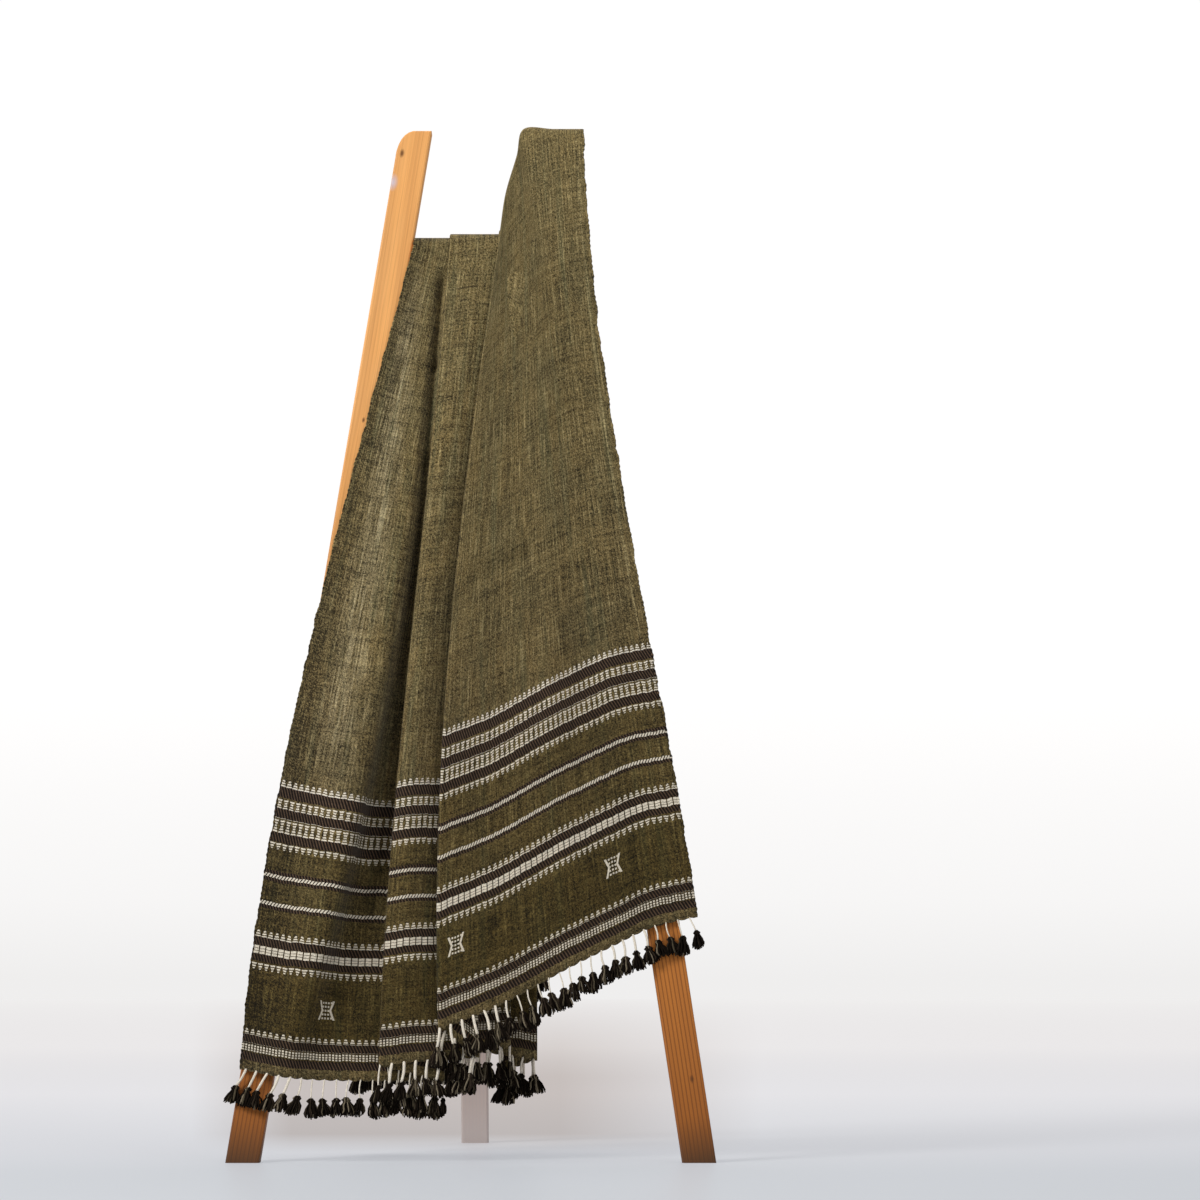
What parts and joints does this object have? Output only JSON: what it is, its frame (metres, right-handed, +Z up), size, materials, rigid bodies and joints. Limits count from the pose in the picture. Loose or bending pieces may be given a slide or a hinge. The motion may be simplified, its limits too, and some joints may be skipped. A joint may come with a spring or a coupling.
{
  "type": "wool throw blanket on a wooden tripod stand",
  "caption": "Hand-loomed fringed wool throw with striped borders, draped in pleats over the rung and one leg of a plain wooden tripod stand.",
  "frame": {"origin": "on the floor, under the middle of the whole thing's box", "axes": "+Z up, +X to the viewer's right, +Y away from the front"},
  "size_m": [0.5854, 0.5168, 1.2988],
  "materials": {
    "pine": "oiled, satin, worn at the edges",
    "wool": "matt plain weave with striped borders",
    "fringe": "cream twisted cords with dark wool tassels"
  },
  "bodies": {
    "root": {"front_leg_left": "pine", "front_leg_right": "pine", "rung": "pine", "rear_leg": "pine", "throw": "wool", "fringe_front": "fringe", "fringe_back": "fringe"}
  },
  "joints": []
}
